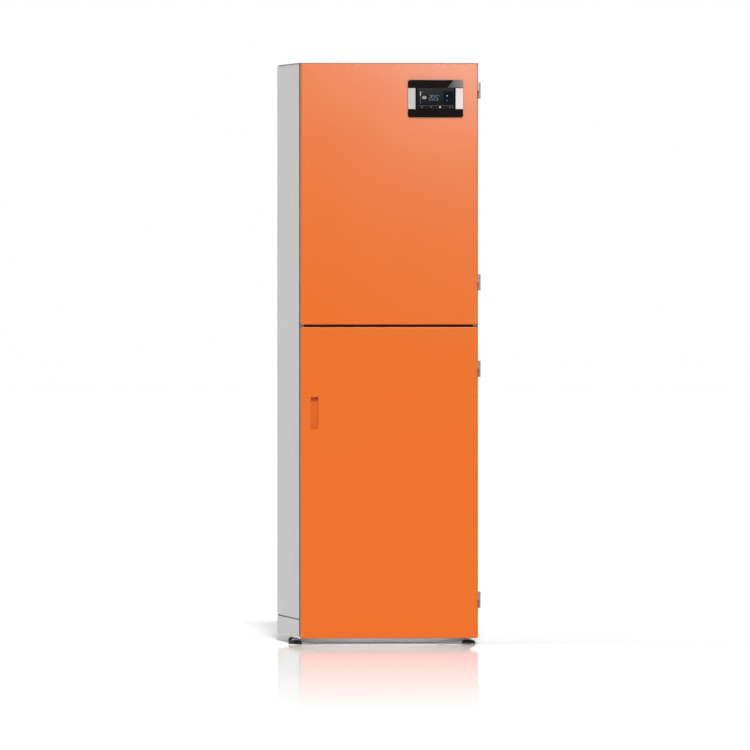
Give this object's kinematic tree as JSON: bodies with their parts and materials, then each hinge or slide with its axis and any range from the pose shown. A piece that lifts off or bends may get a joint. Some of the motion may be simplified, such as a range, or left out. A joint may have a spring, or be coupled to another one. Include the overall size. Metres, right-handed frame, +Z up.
{
  "type": "pellet boiler",
  "caption": "Tall free-standing pellet boiler: slim sheet-metal cabinet with upper and lower hinged doors, a touch controller, pellet hopper and auger above a fire-tube boiler.",
  "frame": {"origin": "on the floor, under the middle of the object's box", "axes": "+X to the right seen from the front, +Y to the back, +Z up; the doors face -Y"},
  "size_m": [0.627, 0.776, 1.933],
  "materials": {
    "orange_paint": "smooth satin powder coat",
    "grey_paint": "fine-textured light grey powder coat",
    "zinc_sheet": "galvanised sheet",
    "hinge_steel": "zinc-plated steel",
    "seal_rubber": "black foam rubber",
    "display_gloss": "gloss black moulding",
    "display_glass": "dark touch screen",
    "silver_plastic": "satin silver",
    "black_plastic": "fine-grained black plastic",
    "foot_black": "black moulded pad on a zinc-plated stem",
    "boiler_steel": "heat-resistant dark grey paint",
    "burner_paint": "grey hammered paint",
    "stainless": "stainless steel",
    "mineral_wool": "pressed mineral wool with foil",
    "motor_black": "black motor paint",
    "brass_fitting": "plain brass",
    "red_plastic": "red moulding"
  },
  "bodies": {
    "cabinet": {"side_panel_left": "grey_paint", "side_panel_right": "grey_paint", "plinth_left": "grey_paint", "plinth_right": "grey_paint", "plinth_cross_rails": "grey_paint", "top_panel": "grey_paint", "rear_panel": "zinc_sheet", "base_plate": "zinc_sheet", "hopper_walls": "zinc_sheet", "hopper_funnel": "zinc_sheet", "auger_trough": "zinc_sheet", "drop_tube": "zinc_sheet", "hinge_casing_halves": "hinge_steel", "hinge_pins": "hinge_steel", "door_seals": "seal_rubber", "magnet_catches": "black_plastic", "control_box": "black_plastic", "connection_plate": "black_plastic", "cable_glands": "black_plastic", "boiler_door_knobs": "black_plastic", "ash_drawer_handle": "black_plastic", "boiler_shell": "boiler_steel", "firebox": "boiler_steel", "fire_tubes": "boiler_steel", "boiler_door": "boiler_steel", "ash_drawer": "boiler_steel", "ash_drawer_front": "boiler_steel", "smoke_box": "boiler_steel", "mid_shelf": "boiler_steel", "burner_body": "burner_paint", "burner_tube": "stainless", "flue_collar": "stainless", "boiler_insulation": "mineral_wool", "boiler_door_insulation": "mineral_wool", "auger_gearmotor": "motor_black", "flue_fan_motor": "motor_black", "cleaning_gearmotor": "motor_black", "water_pipes": "brass_fitting", "drain_valve": "brass_fitting"},
    "upper_door": {"upper_door_skin": "orange_paint", "upper_door_liner": "zinc_sheet", "upper_door_hinge_halves": "hinge_steel", "display_housing": "display_gloss", "display_glass": "display_glass", "display_grips": "silver_plastic"},
    "lower_door": {"lower_door_skin": "orange_paint", "lower_door_liner": "zinc_sheet", "lower_door_hinge_halves": "hinge_steel", "lower_door_pull": "orange_paint"},
    "auger": {"auger_screw": "stainless"},
    "flue_fan": {"flue_fan_impeller": "stainless"},
    "cleaning_rocker": {"cleaning_shaft": "boiler_steel"},
    "turbulator_rack": {"turbulators": "boiler_steel"},
    "drain_handle": {"drain_lever": "red_plastic"},
    "switch_rocker": {"main_switch": "black_plastic"},
    "reset_plunger": {"reset_button": "red_plastic"},
    "foot_front_left": {"foot_front_left": "foot_black"},
    "foot_front_right": {"foot_front_right": "foot_black"},
    "foot_rear_left": {"foot_rear_left": "foot_black"},
    "foot_rear_right": {"foot_rear_right": "foot_black"}
  },
  "joints": [
    {"name": "upper_door_swing", "type": "hinge", "parent": "cabinet", "child": "upper_door", "pos_m": [0.3025, -0.3559, 1.497], "axis": [0, 0, 1], "range_deg": [0, 115]},
    {"name": "lower_door_swing", "type": "hinge", "parent": "cabinet", "child": "lower_door", "pos_m": [0.3025, -0.3559, 0.541], "axis": [0, 0, 1], "range_deg": [0, 115]},
    {"name": "auger_turn", "type": "hinge", "parent": "cabinet", "child": "auger", "pos_m": [0, 0, 1.145], "axis": [0, 1, 0], "continuous": true},
    {"name": "flue_fan_turn", "type": "hinge", "parent": "cabinet", "child": "flue_fan", "pos_m": [-0.075, 0.28, 0.83], "axis": [0, 1, 0], "continuous": true},
    {"name": "cleaning_shaft_turn", "type": "hinge", "parent": "cabinet", "child": "cleaning_rocker", "pos_m": [0, 0.066, 0.8567], "axis": [1, 0, 0], "range_deg": [0, 25]},
    {"name": "turbulator_lift", "type": "slide", "parent": "cabinet", "child": "turbulator_rack", "axis": [0, 0, 1], "range_m": [0, 0.028]},
    {"name": "drain_lever_turn", "type": "hinge", "parent": "cabinet", "child": "drain_handle", "pos_m": [-0.19, 0.35, 0.164], "axis": [0, 0, 1], "range_deg": [0, 90]},
    {"name": "main_switch_rock", "type": "hinge", "parent": "cabinet", "child": "switch_rocker", "pos_m": [0.136, 0.3275, 1.376], "axis": [1, 0, 0], "range_deg": [0, 16]},
    {"name": "reset_button_press", "type": "slide", "parent": "cabinet", "child": "reset_plunger", "axis": [0, -1, 0], "range_m": [0, 0.003], "stiffness_N_per_m": 400},
    {"name": "foot_front_left_screw", "type": "slide", "parent": "cabinet", "child": "foot_front_left", "axis": [0, 0, 1], "range_m": [-0.02, 0.005]},
    {"name": "foot_front_right_screw", "type": "slide", "parent": "cabinet", "child": "foot_front_right", "axis": [0, 0, 1], "range_m": [-0.02, 0.005]},
    {"name": "foot_rear_left_screw", "type": "slide", "parent": "cabinet", "child": "foot_rear_left", "axis": [0, 0, 1], "range_m": [-0.02, 0.005]},
    {"name": "foot_rear_right_screw", "type": "slide", "parent": "cabinet", "child": "foot_rear_right", "axis": [0, 0, 1], "range_m": [-0.02, 0.005]}
  ],
  "couplings": [
    {"joint": "cleaning_shaft_turn", "follows": "turbulator_lift", "rad_per_m": 15.385}
  ]
}
